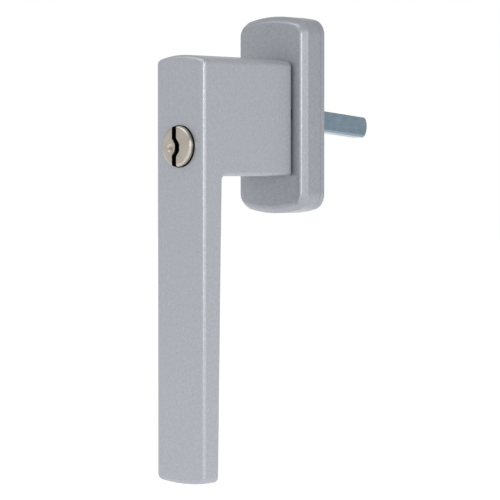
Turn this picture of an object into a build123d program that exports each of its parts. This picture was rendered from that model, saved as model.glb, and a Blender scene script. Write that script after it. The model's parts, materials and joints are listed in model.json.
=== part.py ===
"""Tilt turn window handle with a key lock, for a 7 mm square spindle.

The origin is on the spindle axis at the mounting face of the rosette.
X is to the right seen from the room, Y points into the window, Z is up.
Sketches on room_plane(d) lie d millimetres out from the mounting face,
and extruding them goes further out towards the room.
"""
import os

from build123d import *

os.makedirs("parts", exist_ok=True)

# Rosette
rosette_width = 31.2
rosette_height = 67.0
rosette_depth = 10.6
rosette_arch = 2.4
rosette_corner = 5.5
bevel_depth = 2.6
bevel_inset = 1.6
bevel_edge_radius = 1.8
cover_wall = 1.6
cover_front_wall = 1.5
plate_depth = 2.0
cover_gap = 0.08

# Fixing to the sash
screw_spacing = 43.0
screw_hole_radius = 2.6
countersink_radius = 4.8
lug_radius = 5.0
lug_length = 2.0

# Lever
grip_width = 22.2
lever_top = 18.95
lever_bottom = -122.4
top_arch = 1.6
bottom_arch = 0.9
lever_corner = 2.0
front_depth = 53.5
grip_thickness_top = 9.1
grip_thickness_bottom = 7.4
neck_bottom = -20.9
neck_rear_depth = 10.95
neck_inner_radius = 1.3
front_edge_radius = 1.4
side_edge_radius = 1.2
rear_edge_radius = 1.3

# Spindle and collar
spindle_size = 7.0
spindle_reach = 36.8
spindle_head = 12.0
spindle_pivot = 7.0
spindle_droop = 5.0
spindle_edge = 0.7
spindle_tip_radius = 6.5
spindle_pin_radius = 1.25
running_clearance = 0.05
collar_radius = 6.3
collar_front = 27.0
collar_rear = 0.3
socket_width = 7.14
socket_height = 8.5

# Base mechanism
hub_radius = 13.0
hub_front = 8.6
web_rear = 7.2
cavity_radius = 10.6
disc_radius = 11.4
disc_front = 2.7
disc_rear = 1.5
lock_plate_radius = 10.5
lock_plate_front = 10.65
notch_position = 8.6
nose_radius = 1.6

# Lock
lock_z = -11.1
plug_face_radius = 6.75
plug_proud = 1.9
plug_bore_radius = 7.05
plug_body_radius = 5.0
housing_radius = 7.0
flange_rear = 52.0
housing_rear = 37.8
barrel_radius = 6.0
barrel_front = 37.4
barrel_rear = 28.4
bolt_radius = 4.0
bolt_stroke = 2.6
cross_pin_radius = 1.0
keyway_depth = 13.0
keyway_bend_radius = 0.9
keyway_face_depth = 6.5
plug_rear = 37.5
housing_pin_depth = 44.0
wafer_depths = (39.6, 41.4, 46.2, 48.0)
wafer_thickness = 0.8
bolt_body_rear = 15.4
nose_tip = 11.4

# Keyway outline on the plug face, from the top round to the top again
keyway_points = (
    (-1.75, 7.0),
    (-1.75, 2.5),
    (-0.35, 0.6),
    (-0.35, -1.2),
    (-1.75, -3.0),
    (-1.75, -7.0),
    (0.3, -7.0),
    (0.3, -3.4),
    (1.75, -1.6),
    (1.75, 0.9),
    (0.3, 2.6),
    (0.3, 7.0),
)

# Back plate of the neck
neck_plate_width = 17.6
neck_plate_height = 35.2
neck_plate_thickness = 1.4
neck_screw_places = ((6.3, 12.4), (-6.3, 12.4), (6.3, -15.6), (-6.3, -15.6))


def room_plane(depth):
    return Plane.XZ.offset(depth)


def rosette_outline(inset):
    """Outline of the rosette, with arched ends and rounded corners."""
    half_width = rosette_width / 2 - inset
    half_height = rosette_height / 2 - inset
    side = half_height - rosette_arch
    with BuildSketch(Plane.XY) as outline:
        with BuildLine():
            Line((half_width, -side), (half_width, side))
            ThreePointArc((half_width, side), (0, half_height), (-half_width, side))
            Line((-half_width, side), (-half_width, -side))
            ThreePointArc((-half_width, -side), (0, -half_height), (half_width, -side))
        make_face()
        fillet(outline.vertices(), rosette_corner - inset)
    return outline.sketch


# Rosette ------------------------------------------------------------------

with BuildPart() as base_plate:
    with BuildSketch(room_plane(0)):
        add(rosette_outline(0))
    extrude(amount=plate_depth)
    with BuildSketch(room_plane(0)):
        Circle(hub_radius)
    extrude(amount=hub_front)
    # Locating lugs that sit in the holes of the sash
    with BuildSketch(room_plane(0)):
        with GridLocations(1, screw_spacing, 1, 2):
            Circle(lug_radius)
    extrude(amount=-lug_length)
    # Recess for the rear disc, cavity for the detent cam and bore of the bush
    with BuildSketch(room_plane(0)):
        Circle(disc_radius)
    extrude(amount=disc_front, mode=Mode.SUBTRACT)
    with BuildSketch(room_plane(disc_front)):
        Circle(cavity_radius)
    extrude(amount=web_rear - disc_front, mode=Mode.SUBTRACT)
    with BuildSketch(room_plane(web_rear)):
        Circle(7.2)
    extrude(amount=hub_front - web_rear, mode=Mode.SUBTRACT)
    # Posts that carry the ends of the leaf springs
    with BuildSketch(room_plane(disc_front)):
        with Locations((8.0, 6.4), (8.0, -6.4), (-8.0, 6.4), (-8.0, -6.4)):
            Rectangle(1.4, 2.0)
    extrude(amount=web_rear - disc_front)
    # Screw holes with countersinks
    with BuildSketch(room_plane(-lug_length)):
        with GridLocations(1, screw_spacing, 1, 2):
            Circle(screw_hole_radius)
    extrude(amount=lug_length + plate_depth, mode=Mode.SUBTRACT)
    sink_edges = base_plate.edges().filter_by(GeomType.CIRCLE)
    sink_edges = sink_edges.filter_by(lambda e: abs(e.radius - screw_hole_radius) < 0.01)
    sink_edges = sink_edges.filter_by(lambda e: abs(e.center().Y + plate_depth) < 0.01)
    chamfer(sink_edges, countersink_radius - screw_hole_radius)
    # Threaded holes of the lock plate screws
    with BuildSketch(room_plane(web_rear)):
        with PolarLocations(notch_position, 4, start_angle=45):
            Circle(0.8)
    extrude(amount=hub_front - web_rear, mode=Mode.SUBTRACT)
base_plate.part.label = "base_plate"

with BuildPart() as rear_disc:
    with BuildSketch(room_plane(disc_rear)):
        Circle(disc_radius - 0.01)
        Circle(collar_radius + running_clearance, mode=Mode.SUBTRACT)
    extrude(amount=disc_front - disc_rear)
rear_disc.part.label = "rear_disc"

with BuildPart() as bearing_bush:
    with BuildSketch(room_plane(web_rear)):
        Circle(7.19)
        Circle(collar_radius + running_clearance, mode=Mode.SUBTRACT)
    extrude(amount=hub_front - web_rear)
bearing_bush.part.label = "bearing_bush"

with BuildPart() as lock_plate:
    with BuildSketch(room_plane(hub_front)):
        Circle(lock_plate_radius)
        Circle(collar_radius + 0.08, mode=Mode.SUBTRACT)
        with PolarLocations(notch_position, 4):
            Circle(nose_radius + 0.15, mode=Mode.SUBTRACT)
        with PolarLocations(notch_position + 2, 4):
            Rectangle(4, 2 * nose_radius + 0.3, mode=Mode.SUBTRACT)
        with PolarLocations(notch_position, 4, start_angle=45):
            Circle(0.8, mode=Mode.SUBTRACT)
    extrude(amount=lock_plate_front - hub_front)
    screw_edges = lock_plate.edges().filter_by(GeomType.CIRCLE)
    screw_edges = screw_edges.filter_by(lambda e: abs(e.radius - 0.8) < 0.01)
    screw_edges = screw_edges.filter_by(lambda e: abs(e.center().Y + lock_plate_front) < 0.01)
    chamfer(screw_edges, 0.7)
lock_plate.part.label = "lock_plate"

with BuildPart() as one_plate_screw:
    with BuildSketch(Plane.XY):
        with BuildLine():
            Polyline(
                (0, 0.05 - hub_front + 1.3),
                (0.78, 0.05 - hub_front + 1.3),
                (0.78, 0.72 - lock_plate_front),
                (1.42, 0.08 - lock_plate_front),
                (0, 0.08 - lock_plate_front),
                close=True,
            )
        make_face()
    revolve(axis=Axis.Y, revolution_arc=360)
with BuildPart() as lock_plate_screws:
    side_step = notch_position * 0.70710678
    for across, up in ((1, 1), (1, -1), (-1, 1), (-1, -1)):
        add(one_plate_screw.part.moved(Location((across * side_step, 0, up * side_step))))
lock_plate_screws.part.label = "lock_plate_screws"

with BuildPart() as detent_spring_left:
    with BuildSketch(room_plane(disc_front + 0.3)):
        with Locations((-7.05, 0)):
            Rectangle(0.45, 14.0)
    extrude(amount=web_rear - disc_front - 0.6)
detent_spring_left.part.label = "detent_spring_left"

with BuildPart() as detent_spring_right:
    with BuildSketch(room_plane(disc_front + 0.3)):
        with Locations((7.05, 0)):
            Rectangle(0.45, 14.0)
    extrude(amount=web_rear - disc_front - 0.6)
detent_spring_right.part.label = "detent_spring_right"

with BuildPart() as rosette_cover:
    with BuildSketch(room_plane(plate_depth + cover_gap)):
        add(rosette_outline(0))
    extrude(amount=rosette_depth - plate_depth - cover_gap)
    front_face = rosette_cover.faces().sort_by(Axis.Y)[0]
    chamfer(front_face.edges(), length=bevel_inset, length2=bevel_depth, reference=front_face)
    front_face = rosette_cover.faces().sort_by(Axis.Y)[0]
    fillet(front_face.edges(), bevel_edge_radius)
    with BuildSketch(room_plane(plate_depth + cover_gap)):
        add(rosette_outline(cover_wall))
    cover_inside = rosette_depth - cover_front_wall
    extrude(amount=cover_inside - plate_depth - cover_gap, mode=Mode.SUBTRACT)
    with BuildSketch(room_plane(cover_inside)):
        Circle(lock_plate_radius + 0.1)
    extrude(amount=cover_front_wall, mode=Mode.SUBTRACT)
rosette_cover.part.label = "rosette_cover"

with BuildPart() as cover_ring:
    with BuildSketch(room_plane(4.0)):
        Circle(13.9)
        Circle(hub_radius + 0.08, mode=Mode.SUBTRACT)
    extrude(amount=cover_inside - 4.0)
cover_ring.part.label = "cover_ring"

# Collar and spindle -----------------------------------------------------------

with BuildPart() as drive_collar:
    with BuildSketch(room_plane(collar_rear)):
        Circle(collar_radius)
    extrude(amount=collar_front - collar_rear)
    with BuildSketch(room_plane(collar_rear)):
        Rectangle(socket_width, socket_height)
    extrude(amount=spindle_head + 1.0 - collar_rear, mode=Mode.SUBTRACT)
    with BuildSketch(room_plane(0.45)):
        Circle(collar_radius)
        Circle(5.95, mode=Mode.SUBTRACT)
    extrude(amount=0.7, mode=Mode.SUBTRACT)
    with BuildSketch(Plane.YZ.offset(-10)):
        with Locations((-spindle_pivot, 0)):
            Circle(spindle_pin_radius)
    extrude(amount=20, mode=Mode.SUBTRACT)
    with BuildSketch(Plane.YZ.offset(-10)):
        with Locations((-22.0, 0)):
            Circle(1.5)
    extrude(amount=20, mode=Mode.SUBTRACT)
drive_collar.part.label = "drive_collar"

with BuildPart() as collar_pin:
    with BuildSketch(Plane.YZ.offset(-8.6)):
        with Locations((-22.0, 0)):
            Circle(1.49)
    extrude(amount=17.2)
collar_pin.part.label = "collar_pin"

with BuildPart() as spindle_pin:
    with BuildSketch(Plane.YZ.offset(-6.0)):
        with Locations((-spindle_pivot, 0)):
            Circle(spindle_pin_radius - 0.005)
    extrude(amount=12.0)
spindle_pin.part.label = "spindle_pin"

with BuildPart() as detent_cam:
    with BuildSketch(room_plane(disc_front + 0.3)):
        RectangleRounded(13.6, 13.6, 2.4)
        Circle(collar_radius + 0.005, mode=Mode.SUBTRACT)
    extrude(amount=web_rear - disc_front - 0.6)
detent_cam.part.label = "detent_cam"

with BuildPart() as thrust_washer:
    with BuildSketch(room_plane(1.15)):
        Circle(8.8)
        Circle(collar_radius + 0.005, mode=Mode.SUBTRACT)
    extrude(amount=0.3)
thrust_washer.part.label = "thrust_washer"

with BuildPart() as retaining_ring:
    with BuildSketch(room_plane(0.45)):
        Circle(7.8)
        Circle(5.96, mode=Mode.SUBTRACT)
        with Locations((0, -8)):
            Rectangle(5.5, 8, mode=Mode.SUBTRACT)
    extrude(amount=0.69)
retaining_ring.part.label = "retaining_ring"

spindle_length = spindle_reach + spindle_head
with BuildPart() as spindle_bar:
    with BuildSketch(room_plane(-spindle_reach)):
        Rectangle(spindle_size, spindle_size)
    extrude(amount=spindle_length)
    chamfer(spindle_bar.edges().filter_by(Axis.Y), spindle_edge)
    # Domed tip
    with BuildSketch(Plane.XY):
        with BuildLine():
            Polyline(
                (0, spindle_reach),
                (0, -spindle_head),
                (spindle_tip_radius, -spindle_head),
                (spindle_tip_radius, spindle_reach - spindle_tip_radius),
            )
            CenterArc((0, spindle_reach - spindle_tip_radius), spindle_tip_radius, 0, 90)
        make_face()
    revolve(axis=Axis.Y, mode=Mode.INTERSECT)
    with BuildSketch(Plane.YZ.offset(-10)):
        with Locations((-spindle_pivot, 0)):
            Circle(spindle_pin_radius + running_clearance)
    extrude(amount=20, mode=Mode.SUBTRACT)
droop_axis = Axis((0, -spindle_pivot, 0), (1, 0, 0))
with BuildPart() as spindle:
    add(spindle_bar.part.rotate(droop_axis, -spindle_droop))
spindle.part.label = "spindle"

# Lever ------------------------------------------------------------------------

half_grip = grip_width / 2
with BuildPart() as grip:
    with BuildSketch(Plane.YZ.offset(-half_grip)):
        with BuildLine():
            back_top = -front_depth + grip_thickness_top
            back_bottom = -front_depth + grip_thickness_bottom
            Polyline(
                (-front_depth, lever_top),
                (-neck_rear_depth, lever_top),
                (-neck_rear_depth, neck_bottom),
                (back_top, neck_bottom),
                (back_bottom, lever_bottom),
                (-front_depth, lever_bottom),
                close=True,
            )
        make_face()
    extrude(amount=grip_width)
    with BuildSketch(room_plane(0)) as front_view:
        with BuildLine():
            Line((half_grip, lever_bottom + bottom_arch), (half_grip, lever_top - top_arch))
            ThreePointArc(
                (half_grip, lever_top - top_arch),
                (0, lever_top),
                (-half_grip, lever_top - top_arch),
            )
            Line((-half_grip, lever_top - top_arch), (-half_grip, lever_bottom + bottom_arch))
            ThreePointArc(
                (-half_grip, lever_bottom + bottom_arch),
                (0, lever_bottom),
                (half_grip, lever_bottom + bottom_arch),
            )
        make_face()
        fillet(front_view.vertices(), lever_corner)
    extrude(amount=front_depth + 5, mode=Mode.INTERSECT)
    # Inner corner between the neck and the grip
    inner_edge = grip.edges().filter_by(Axis.X)
    inner_edge = inner_edge.filter_by(lambda e: abs(e.center().Z - neck_bottom) < 0.01)
    fillet(inner_edge.sort_by(Axis.Y)[0], neck_inner_radius)
    # Front edge all round
    fillet(grip.faces().sort_by(Axis.Y)[0].edges(), front_edge_radius)
    # Neck bottom edges and the back edges of the grip
    low_edges = grip.edges().filter_by(lambda e: e.center().Z < neck_bottom + 0.01)
    low_edges = low_edges.filter_by(lambda e: e.center().Y > back_bottom - 0.1)
    side_edges = low_edges.filter_by(lambda e: abs(abs(e.center().X) - half_grip) < 0.01)
    end_edges = low_edges.filter_by(lambda e: e.center().Z < lever_bottom + 3)
    end_edges = end_edges.filter_by(lambda e: abs(e.center().Y - back_bottom) < 0.3)
    end_edges = end_edges.filter_by(lambda e: abs(abs(e.center().X) - half_grip) > 0.01)
    fillet(side_edges + end_edges, side_edge_radius)
    # Rear edge of the neck
    fillet(grip.faces().sort_by(Axis.Y)[-1].edges(), rear_edge_radius)
    # Recess of the back plate
    with BuildSketch(room_plane(neck_rear_depth)):
        with Locations((0, (lever_top + neck_bottom) / 2)):
            RectangleRounded(neck_plate_width, neck_plate_height, 1.5)
    extrude(amount=neck_plate_thickness, mode=Mode.SUBTRACT)
    # Bores of the collar, the bolt and the lock
    with BuildSketch(room_plane(neck_rear_depth)):
        Circle(collar_radius + 0.005)
    extrude(amount=collar_front + 0.2 - neck_rear_depth, mode=Mode.SUBTRACT)
    with BuildSketch(room_plane(neck_rear_depth)):
        with Locations((0, lock_z)):
            Circle(bolt_radius + 0.1)
        with Locations((0, -notch_position)):
            Circle(nose_radius + 0.15)
    extrude(amount=barrel_rear - neck_rear_depth, mode=Mode.SUBTRACT)
    with BuildSketch(room_plane(barrel_rear - 0.4)):
        with Locations((0, lock_z)):
            Circle(plug_bore_radius)
    extrude(amount=front_depth + 5, mode=Mode.SUBTRACT)
    # Hollow in the upper neck between the screw bosses
    with BuildSketch(room_plane(neck_rear_depth)):
        with Locations((0, 12.2)):
            Rectangle(8.0, 7.6)
    extrude(amount=34, mode=Mode.SUBTRACT)
    # Bore of the collar pin, closed by the pin itself
    with BuildSketch(Plane.YZ.offset(-8.6)):
        with Locations((-22.0, 0)):
            Circle(1.5)
    extrude(amount=17.2, mode=Mode.SUBTRACT)
    # Bore of the pin that stops the lock housing
    with BuildSketch(Plane.YZ.offset(-9.5)):
        with Locations((-housing_pin_depth, lock_z)):
            Circle(1.0)
    extrude(amount=19.0, mode=Mode.SUBTRACT)
    # Threaded holes of the back plate screws
    with BuildSketch(room_plane(neck_rear_depth)):
        with Locations(*neck_screw_places):
            Circle(1.0)
    extrude(amount=9.0, mode=Mode.SUBTRACT)
grip.part.label = "grip"

with BuildPart() as neck_back_plate:
    with BuildSketch(room_plane(neck_rear_depth)):
        with Locations((0, (lever_top + neck_bottom) / 2)):
            RectangleRounded(neck_plate_width - 0.02, neck_plate_height - 0.02, 1.49)
        Circle(collar_radius + 0.005, mode=Mode.SUBTRACT)
        with Locations((0, -notch_position)):
            Circle(nose_radius + 0.12, mode=Mode.SUBTRACT)
        with Locations(*neck_screw_places):
            Circle(1.0, mode=Mode.SUBTRACT)
    extrude(amount=neck_plate_thickness)
    head_edges = neck_back_plate.edges().filter_by(GeomType.CIRCLE)
    head_edges = head_edges.filter_by(lambda e: abs(e.radius - 1.0) < 0.01)
    chamfer(head_edges.filter_by(lambda e: abs(e.center().Y + neck_rear_depth) < 0.01), 0.9)
neck_back_plate.part.label = "neck_back_plate"

with BuildPart() as one_neck_screw:
    with BuildSketch(Plane.XY):
        with BuildLine():
            Polyline(
                (0, -neck_rear_depth - 0.05),
                (1.82, -neck_rear_depth - 0.05),
                (0.98, -neck_rear_depth - 0.89),
                (0.98, -neck_rear_depth - 8.5),
                (0, -neck_rear_depth - 8.5),
                close=True,
            )
        make_face()
    revolve(axis=Axis.Y, revolution_arc=360)
    with BuildSketch(room_plane(neck_rear_depth)):
        Rectangle(1.7, 0.45)
        Rectangle(0.45, 1.7)
    extrude(amount=0.6, mode=Mode.SUBTRACT)
with BuildPart() as back_plate_screws:
    for across, up in neck_screw_places:
        add(one_neck_screw.part.moved(Location((across, 0, up))))
back_plate_screws.part.label = "back_plate_screws"

# Lock -------------------------------------------------------------------------

with BuildPart() as lock_plug:
    with BuildSketch(room_plane(flange_rear)):
        with Locations((0, lock_z)):
            Circle(plug_face_radius)
    extrude(amount=front_depth + plug_proud - flange_rear)
    fillet(lock_plug.edges().sort_by(Axis.Y)[0], 0.85)
    with BuildSketch(room_plane(plug_rear)):
        with Locations((0, lock_z)):
            Circle(plug_body_radius)
    extrude(amount=flange_rear - plug_rear)
    # Square tail that turns the cam barrel
    with BuildSketch(room_plane(barrel_front - 2.0)):
        with Locations((0, lock_z)):
            Rectangle(5.0, 5.0)
    extrude(amount=plug_rear - barrel_front + 2.0)
    # Curved keyway across the whole face
    with BuildSketch(room_plane(front_depth + plug_proud)):
        with BuildLine():
            Polyline(*[(across, lock_z + up) for across, up in keyway_points], close=True)
        keyway = make_face()
        bends = keyway.vertices().filter_by(lambda v: abs(v.Y - lock_z) < 6)
        fillet(bends, keyway_bend_radius)
    extrude(amount=-keyway_face_depth, mode=Mode.SUBTRACT)
    with BuildSketch(room_plane(front_depth + plug_proud - keyway_face_depth + 0.5)):
        with Locations((-0.2, lock_z)):
            Rectangle(2.0, 8.0)
    extrude(amount=keyway_face_depth - 0.5 - keyway_depth, mode=Mode.SUBTRACT)
    # Dimple beside the keyway
    with Locations((-2.5, -front_depth - plug_proud - 2.6, lock_z - 0.5)):
        Sphere(2.95, mode=Mode.SUBTRACT)
    # Slots of the wafer tumblers
    for depth in wafer_depths:
        with BuildSketch(room_plane(depth)):
            with Locations((0, lock_z)):
                Rectangle(5.1, 8.5)
        extrude(amount=wafer_thickness + 0.1, mode=Mode.SUBTRACT)
lock_plug.part.label = "lock_plug"

with BuildPart() as wafer_tumblers:
    for depth in wafer_depths:
        with BuildSketch(room_plane(depth + 0.05)):
            with Locations((0, lock_z)):
                Rectangle(5.0, 8.4)
                Rectangle(2.4, 6.4, mode=Mode.SUBTRACT)
        extrude(amount=wafer_thickness)
wafer_tumblers.part.label = "wafer_tumblers"

with BuildPart() as lock_housing:
    with BuildSketch(room_plane(housing_rear)):
        with Locations((0, lock_z)):
            Circle(housing_radius)
            Circle(plug_body_radius + running_clearance, mode=Mode.SUBTRACT)
    extrude(amount=flange_rear - 0.3 - housing_rear)
    with BuildSketch(Plane.YZ.offset(-9.5)):
        with Locations((-housing_pin_depth, lock_z)):
            Circle(1.0)
    extrude(amount=19.0, mode=Mode.SUBTRACT)
lock_housing.part.label = "lock_housing"

with BuildPart() as housing_pins:
    with BuildSketch(Plane.YZ.offset(5.4)):
        with Locations((-housing_pin_depth, lock_z)):
            Circle(0.99)
    extrude(amount=4.0)
    with BuildSketch(Plane.YZ.offset(-9.4)):
        with Locations((-housing_pin_depth, lock_z)):
            Circle(0.99)
    extrude(amount=4.0)
housing_pins.part.label = "housing_pins"

pin_depth = barrel_rear + 2.2 + bolt_stroke
with BuildPart() as cam_barrel:
    with BuildSketch(room_plane(barrel_rear)):
        with Locations((0, lock_z)):
            Circle(barrel_radius)
    extrude(amount=barrel_front - barrel_rear)
    with BuildSketch(room_plane(barrel_rear)):
        with Locations((0, lock_z)):
            Circle(bolt_radius + 0.08)
    extrude(amount=barrel_front - 2.4 - barrel_rear, mode=Mode.SUBTRACT)
    with BuildSketch(room_plane(barrel_front)):
        with Locations((0, lock_z)):
            Rectangle(5.02, 5.02)
    extrude(amount=-2.4, mode=Mode.SUBTRACT)
    # Two helical slots that drive the cross pin of the bolt
    slot_steps = 24
    for step in range(slot_steps + 1):
        turn = -4 + 98 * step / slot_steps
        travel = bolt_stroke * turn / 90
        with Locations(Location((0, -pin_depth + travel, lock_z), (0, -turn, 0))):
            Cylinder(cross_pin_radius + 0.2, 14, rotation=(0, 90, 0), mode=Mode.SUBTRACT)
cam_barrel.part.label = "cam_barrel"

with BuildPart() as bolt_guide:
    with BuildSketch(room_plane(barrel_rear)):
        with Locations((0, lock_z)):
            Circle(housing_radius)
            Circle(barrel_radius + running_clearance, mode=Mode.SUBTRACT)
    extrude(amount=barrel_front - barrel_rear)
    with BuildSketch(Plane.YZ.offset(-10)):
        with Locations((-pin_depth + bolt_stroke / 2, lock_z)):
            SlotCenterToCenter(bolt_stroke + 0.3, 2 * cross_pin_radius + 0.1)
    extrude(amount=20, mode=Mode.SUBTRACT)
bolt_guide.part.label = "bolt_guide"

with BuildPart() as lock_bolt:
    with BuildSketch(room_plane(bolt_body_rear)):
        with Locations((0, lock_z)):
            Circle(bolt_radius)
    extrude(amount=pin_depth + 1.8 - bolt_body_rear)
    with BuildSketch(room_plane(nose_tip)):
        with Locations((0, -notch_position)):
            Circle(nose_radius)
    extrude(amount=bolt_body_rear + 2.0 - nose_tip)
    chamfer(lock_bolt.edges().sort_by(Axis.Y)[-1], 0.3)
    with BuildSketch(Plane.YZ.offset(-10)):
        with Locations((-pin_depth, lock_z)):
            Circle(cross_pin_radius)
    extrude(amount=20, mode=Mode.SUBTRACT)
lock_bolt.part.label = "lock_bolt"

with BuildPart() as bolt_cross_pin:
    with BuildSketch(Plane.YZ.offset(-6.8)):
        with Locations((-pin_depth, lock_z)):
            Circle(cross_pin_radius - 0.005)
    extrude(amount=13.6)
bolt_cross_pin.part.label = "bolt_cross_pin"

# Files ------------------------------------------------------------------------

export_step(base_plate.part, "parts/base_plate.step")
export_step(rear_disc.part, "parts/rear_disc.step")
export_step(bearing_bush.part, "parts/bearing_bush.step")
export_step(lock_plate.part, "parts/lock_plate.step")
export_step(lock_plate_screws.part, "parts/lock_plate_screws.step")
export_step(detent_spring_left.part, "parts/detent_spring_left.step")
export_step(detent_spring_right.part, "parts/detent_spring_right.step")
export_step(rosette_cover.part, "parts/rosette_cover.step")
export_step(cover_ring.part, "parts/cover_ring.step")
export_step(drive_collar.part, "parts/drive_collar.step")
export_step(collar_pin.part, "parts/collar_pin.step")
export_step(spindle_pin.part, "parts/spindle_pin.step")
export_step(detent_cam.part, "parts/detent_cam.step")
export_step(thrust_washer.part, "parts/thrust_washer.step")
export_step(retaining_ring.part, "parts/retaining_ring.step")
export_step(spindle.part, "parts/spindle.step")
export_step(grip.part, "parts/grip.step")
export_step(neck_back_plate.part, "parts/neck_back_plate.step")
export_step(back_plate_screws.part, "parts/back_plate_screws.step")
export_step(lock_plug.part, "parts/lock_plug.step")
export_step(wafer_tumblers.part, "parts/wafer_tumblers.step")
export_step(lock_housing.part, "parts/lock_housing.step")
export_step(housing_pins.part, "parts/housing_pins.step")
export_step(cam_barrel.part, "parts/cam_barrel.step")
export_step(bolt_guide.part, "parts/bolt_guide.step")
export_step(lock_bolt.part, "parts/lock_bolt.step")
export_step(bolt_cross_pin.part, "parts/bolt_cross_pin.step")
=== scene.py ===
"""Looks of the tilt turn handle: paint, nickel, zinc and the studio round it.

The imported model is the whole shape. This script gives each node its finish,
and adds the floor, the lights and the camera. Sizes are in metres.
"""
import json
import math

import bpy
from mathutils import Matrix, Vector


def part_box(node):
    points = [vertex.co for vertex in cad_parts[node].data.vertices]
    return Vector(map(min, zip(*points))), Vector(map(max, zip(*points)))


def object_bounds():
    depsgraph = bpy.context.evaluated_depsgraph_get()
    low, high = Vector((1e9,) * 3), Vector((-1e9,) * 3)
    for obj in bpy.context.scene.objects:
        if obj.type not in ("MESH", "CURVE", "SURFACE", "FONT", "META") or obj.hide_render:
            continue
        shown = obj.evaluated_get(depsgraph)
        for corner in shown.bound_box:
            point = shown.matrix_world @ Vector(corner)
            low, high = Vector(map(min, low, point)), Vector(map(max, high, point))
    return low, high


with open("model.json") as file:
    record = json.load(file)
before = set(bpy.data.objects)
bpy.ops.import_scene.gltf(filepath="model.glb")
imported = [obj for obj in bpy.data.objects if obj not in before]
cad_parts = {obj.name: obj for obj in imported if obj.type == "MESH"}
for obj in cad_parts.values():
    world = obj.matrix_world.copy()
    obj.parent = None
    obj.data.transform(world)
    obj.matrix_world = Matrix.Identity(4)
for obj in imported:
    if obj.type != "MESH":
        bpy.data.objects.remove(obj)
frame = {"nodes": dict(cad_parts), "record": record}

cad_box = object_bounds()


# Node helpers ---------------------------------------------------------------

def new_material(name):
    """A node material with a Principled shader; returns it, its tree and shader."""
    material = bpy.data.materials.new(name)
    material.use_nodes = True
    tree = material.node_tree
    shader = tree.nodes["Principled BSDF"]
    return material, tree, shader


def noise(tree, scale, detail=2.0, roughness=0.5, stretch=(1.0, 1.0, 1.0)):
    """Noise in the object's own coordinates. scale is in cycles per metre."""
    place = tree.nodes.new("ShaderNodeTexCoord")
    mapping = tree.nodes.new("ShaderNodeMapping")
    mapping.inputs["Scale"].default_value = stretch
    texture = tree.nodes.new("ShaderNodeTexNoise")
    texture.inputs["Scale"].default_value = scale
    texture.inputs["Detail"].default_value = detail
    texture.inputs["Roughness"].default_value = roughness
    tree.links.new(place.outputs["Object"], mapping.inputs["Vector"])
    tree.links.new(mapping.outputs["Vector"], texture.inputs["Vector"])
    return texture.outputs["Fac"]


def span(tree, value, low, high, to_low, to_high):
    """Maps value from low..high onto to_low..to_high, and clamps it."""
    node = tree.nodes.new("ShaderNodeMapRange")
    node.inputs["From Min"].default_value = low
    node.inputs["From Max"].default_value = high
    node.inputs["To Min"].default_value = to_low
    node.inputs["To Max"].default_value = to_high
    tree.links.new(value, node.inputs["Value"])
    return node.outputs["Result"]


def ramp(tree, value, stops):
    """A colour for each value, from (position, colour) stops."""
    node = tree.nodes.new("ShaderNodeValToRGB")
    elements = node.color_ramp.elements
    while len(elements) < len(stops):
        elements.new(0.5)
    for element, (position, colour) in zip(elements, stops):
        element.position = position
        element.color = (*colour, 1.0)
    tree.links.new(value, node.inputs["Fac"])
    return node.outputs["Color"]


def multiply(tree, colour, value):
    """The colour, times a grey value."""
    node = tree.nodes.new("ShaderNodeMix")
    node.data_type = "RGBA"
    node.blend_type = "MULTIPLY"
    node.inputs["Factor"].default_value = 1.0
    tree.links.new(colour, node.inputs["A"])
    tree.links.new(value, node.inputs["B"])
    return node.outputs["Result"]


def bump(tree, shader, value, height, strength=1.0):
    """Relief of that height, in metres, on the shader's normal."""
    node = tree.nodes.new("ShaderNodeBump")
    node.inputs["Strength"].default_value = strength
    node.inputs["Distance"].default_value = height
    tree.links.new(value, node.inputs["Height"])
    tree.links.new(node.outputs["Normal"], shader.inputs["Normal"])


def shade(colour, factor):
    """The colour, lighter or darker by that factor."""
    return tuple(channel * factor for channel in colour)


# Finishes ---------------------------------------------------------------------

def silver_paint(name, colour):
    """Metallic paint: fine flakes, a faint cloudiness and a light orange peel."""
    material, tree, shader = new_material(name)
    flakes = noise(tree, 2600, detail=3.0, roughness=0.7)
    clouds = noise(tree, 900, detail=4.0, roughness=0.62)
    stops = [(0.30, shade(colour, 0.84)), (0.50, colour), (0.70, shade(colour, 1.16))]
    flake_colour = ramp(tree, flakes, stops)
    cloud_value = span(tree, clouds, 0.3, 0.7, 0.94, 1.05)
    tree.links.new(multiply(tree, flake_colour, cloud_value), shader.inputs["Base Color"])
    tree.links.new(span(tree, flakes, 0.3, 0.7, 0.44, 0.32), shader.inputs["Roughness"])
    shader.inputs["Metallic"].default_value = 0.65
    shader.inputs["Coat Weight"].default_value = 0.12
    shader.inputs["Coat Roughness"].default_value = 0.28
    bump(tree, shader, noise(tree, 2400, detail=2.0), 0.00003, 0.35)
    return material


def brushed_metal(name, colour, roughness, scale, stretch, contrast=0.10):
    """Bare or plated metal with fine drawn lines along one direction."""
    material, tree, shader = new_material(name)
    lines = noise(tree, scale, detail=3.0, stretch=stretch)
    patches = noise(tree, 260, detail=3.0)
    stops = [(0.32, shade(colour, 1 - contrast)), (0.68, shade(colour, 1 + contrast))]
    line_colour = ramp(tree, lines, stops)
    patch_value = span(tree, patches, 0.3, 0.7, 0.93, 1.06)
    tree.links.new(multiply(tree, line_colour, patch_value), shader.inputs["Base Color"])
    rough = span(tree, patches, 0.3, 0.7, roughness * 0.85, roughness * 1.15)
    tree.links.new(rough, shader.inputs["Roughness"])
    shader.inputs["Metallic"].default_value = 1.0
    bump(tree, shader, lines, 0.00001, 0.25)
    return material


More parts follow.
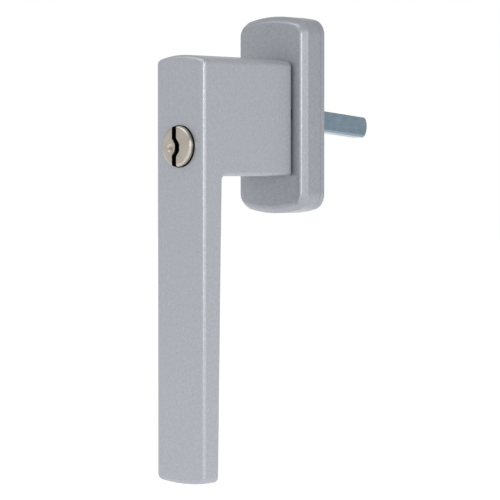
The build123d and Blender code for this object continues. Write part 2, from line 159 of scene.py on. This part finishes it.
def plated_plug(name, colour, dark, face, axis_height, rim_radius):
    """Satin nickel, with painted shade in the keyway and on the side of the flange.

    face is the plug's front in Y, axis_height its axis in Z. Within rim_radius
    of the axis the painted shade starts just behind the face, and outside it lower down.
    """
    material = brushed_metal(name, colour, 0.30, 900, (6.0, 1.0, 0.25), 0.05)
    tree = material.node_tree
    shader = tree.nodes["Principled BSDF"]
    bright = shader.inputs["Base Color"].links[0].from_socket
    place = tree.nodes.new("ShaderNodeTexCoord")
    split = tree.nodes.new("ShaderNodeSeparateXYZ")
    tree.links.new(place.outputs["Object"], split.inputs["Vector"])
    across_axis = tree.nodes.new("ShaderNodeVectorMath")
    across_axis.operation = "MULTIPLY_ADD"
    across_axis.inputs[1].default_value = (1.0, 0.0, 1.0)
    across_axis.inputs[2].default_value = (0.0, 0.0, -axis_height)
    tree.links.new(place.outputs["Object"], across_axis.inputs[0])
    radius = tree.nodes.new("ShaderNodeVectorMath")
    radius.operation = "LENGTH"
    tree.links.new(across_axis.outputs["Vector"], radius.inputs[0])
    depth = split.outputs["Y"]
    # Painted shade: the nickel goes near-black deeper in the keyway and on the flange's side wall,
    # where shade falls
    keyway_shade_amount = span(tree, depth, face + keyway_shade_start, face + keyway_shade_full, 0.0, 1.0)
    side_shade_amount = span(tree, depth, face + side_shade_start, face + side_shade_full, 0.0, 1.0)
    rim_outside = rim_radius + rim_blend
    outside = span(tree, radius.outputs["Value"], rim_radius, rim_outside, 0.0, 1.0)
    where = tree.nodes.new("ShaderNodeMix")
    tree.links.new(outside, where.inputs["Factor"])
    tree.links.new(keyway_shade_amount, where.inputs["A"])
    tree.links.new(side_shade_amount, where.inputs["B"])
    mix = tree.nodes.new("ShaderNodeMix")
    mix.data_type = "RGBA"
    mix.inputs["B"].default_value = (*dark, 1.0)
    tree.links.new(where.outputs["Result"], mix.inputs["Factor"])
    tree.links.new(bright, mix.inputs["A"])
    tree.links.new(mix.outputs["Result"], shader.inputs["Base Color"])
    return material


def moulded_nylon(name, colour):
    """Natural nylon with a fine spark texture."""
    material, tree, shader = new_material(name)
    grain = noise(tree, 3000, detail=2.0)
    stops = [(0.3, shade(colour, 0.94)), (0.7, shade(colour, 1.04))]
    tree.links.new(ramp(tree, grain, stops), shader.inputs["Base Color"])
    shader.inputs["Roughness"].default_value = 0.5
    bump(tree, shader, grain, 0.00002, 0.4)
    return material


plug_low, plug_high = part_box("lock_plug")
plug_front = plug_low.y
plug_axis = (plug_low.z + plug_high.z) / 2
plug_rim_radius = 0.00645

# Depths behind the plug's face where its painted shade starts and is full
keyway_shade_start = 0.0002
keyway_shade_full = 0.0006
side_shade_start = 0.0009
side_shade_full = 0.0017
rim_blend = 0.00015

lever_paint = silver_paint("silver_paint_lever", (0.405, 0.420, 0.450))
rosette_paint = silver_paint("silver_paint_rosette", (0.340, 0.354, 0.382))
finishes = {
    "nickel_plate": plated_plug(
        "nickel_plate",
        (0.52, 0.475, 0.42),
        # near-black colour of the painted shade in the keyway and on the flange side
        (0.014, 0.012, 0.010),
        plug_front,
        plug_axis,
        plug_rim_radius,
    ),
    "blue_zinc": brushed_metal(
        "blue_zinc", (0.24, 0.315, 0.375), 0.26, 1500, (6.0, 0.2, 1.0), 0.07
    ),
    "zinc_plated_steel": brushed_metal(
        "zinc_plated_steel", (0.58, 0.60, 0.62), 0.34, 1500, (1.0, 0.3, 1.0)
    ),
    "spring_steel": brushed_metal(
        "spring_steel", (0.26, 0.26, 0.27), 0.38, 1800, (0.3, 1.0, 1.0)
    ),
    "brass": brushed_metal("brass", (0.70, 0.52, 0.24), 0.32, 1600, (1.0, 4.0, 1.0)),
    "nylon": moulded_nylon("nylon", (0.78, 0.77, 0.72)),
}
rosette_nodes = ("rosette_cover", "base_plate")

for subpart in frame["record"]["subparts"]:
    node = subpart["node"]
    slot = subpart["material_slot"]
    if slot == "silver_paint":
        finish = rosette_paint if node in rosette_nodes else lever_paint
    else:
        finish = finishes[slot]
    for material_slot in frame["nodes"][node].material_slots:
        material_slot.material = finish


# Studio -----------------------------------------------------------------------

floor_drop = 0.12
floor_height = cad_box[0][2] - floor_drop
floor_half = 6.0
floor_mesh = bpy.data.meshes.new("floor")
floor_mesh.from_pydata(
    [
        (-floor_half, -floor_half, floor_height),
        (floor_half, -floor_half, floor_height),
        (floor_half, floor_half, floor_height),
        (-floor_half, floor_half, floor_height),
    ],
    [],
    [(0, 1, 2, 3)],
)
floor = bpy.data.objects.new("floor", floor_mesh)
bpy.context.scene.collection.objects.link(floor)
floor_material, floor_tree, floor_shader = new_material("floor_white")
floor_grain = noise(floor_tree, 40, detail=2.0)
floor_stops = [(0.3, (0.44, 0.44, 0.44)), (0.7, (0.46, 0.46, 0.46))]
floor_tree.links.new(ramp(floor_tree, floor_grain, floor_stops), floor_shader.inputs["Base Color"])
floor_shader.inputs["Roughness"].default_value = 0.9
floor_shader.inputs["Emission Color"].default_value = (1.0, 1.0, 1.0, 1.0)
floor_shader.inputs["Emission Strength"].default_value = 0.75
floor_mesh.materials.append(floor_material)

bpy.context.scene.view_settings.view_transform = "Standard"

world = bpy.data.worlds.new("studio")
world.use_nodes = True
bpy.context.scene.world = world
world_tree = world.node_tree
seen = world_tree.nodes["Background"]
seen.inputs["Color"].default_value = (1.0, 1.0, 1.0, 1.0)
seen.inputs["Strength"].default_value = 1.0
lighting = world_tree.nodes.new("ShaderNodeBackground")
lighting.inputs["Color"].default_value = (0.97, 0.985, 1.0, 1.0)
lighting.inputs["Strength"].default_value = 0.68
rays = world_tree.nodes.new("ShaderNodeLightPath")
either = world_tree.nodes.new("ShaderNodeMixShader")
world_output = world_tree.nodes["World Output"]
world_tree.links.new(rays.outputs["Is Camera Ray"], either.inputs["Fac"])
world_tree.links.new(lighting.outputs["Background"], either.inputs[1])
world_tree.links.new(seen.outputs["Background"], either.inputs[2])
world_tree.links.new(either.outputs["Shader"], world_output.inputs["Surface"])

middle = Vector((0.0, -0.03, -0.05))


def soft_light(name, azimuth, elevation, distance, size, power):
    """Square area light that faces the object. Azimuth 0 is in front, 90 to the right."""
    turn = math.radians(azimuth)
    rise = math.radians(elevation)
    across = math.cos(rise)
    away = Vector((math.sin(turn) * across, -math.cos(turn) * across, math.sin(rise)))
    data = bpy.data.lights.new(name, "AREA")
    data.shape = "SQUARE"
    data.size = size
    data.energy = power
    light = bpy.data.objects.new(name, data)
    light.location = middle + away * distance
    light.rotation_euler = away.to_track_quat("Z", "Y").to_euler()
    bpy.context.scene.collection.objects.link(light)


soft_light("key_front_left", -32, 45, 1.2, 0.7, 2.0)
soft_light("edge_near_camera", 50, 10, 1.3, 0.28, 3.2)
soft_light("side_right", 95, 15, 1.2, 0.7, 1.9)
soft_light("overhead", 10, 60, 1.3, 0.7, 1.8)


# Camera -----------------------------------------------------------------------

camera_azimuth = math.radians(43.0)
camera_distance = 0.850
camera_height = -0.0215
camera_lens = 177.7
look_right = -math.tan(math.radians(0.944))
look_up = -math.tan(math.radians(1.671))

forward = Vector((-math.sin(camera_azimuth), math.cos(camera_azimuth), 0.0))
rightward = Vector((math.cos(camera_azimuth), math.sin(camera_azimuth), 0.0))
look = forward + rightward * look_right + Vector((0.0, 0.0, look_up))

camera_data = bpy.data.cameras.new("camera")
camera_data.sensor_width = 36.0
camera_data.lens = camera_lens
camera_data.clip_start = 0.01
camera_data.clip_end = 50.0
camera = bpy.data.objects.new("camera", camera_data)
camera.location = forward * -camera_distance + Vector((0.0, 0.0, camera_height))
camera.rotation_euler = (-look).to_track_quat("Z", "Y").to_euler()
bpy.context.scene.collection.objects.link(camera)
bpy.context.scene.camera = camera
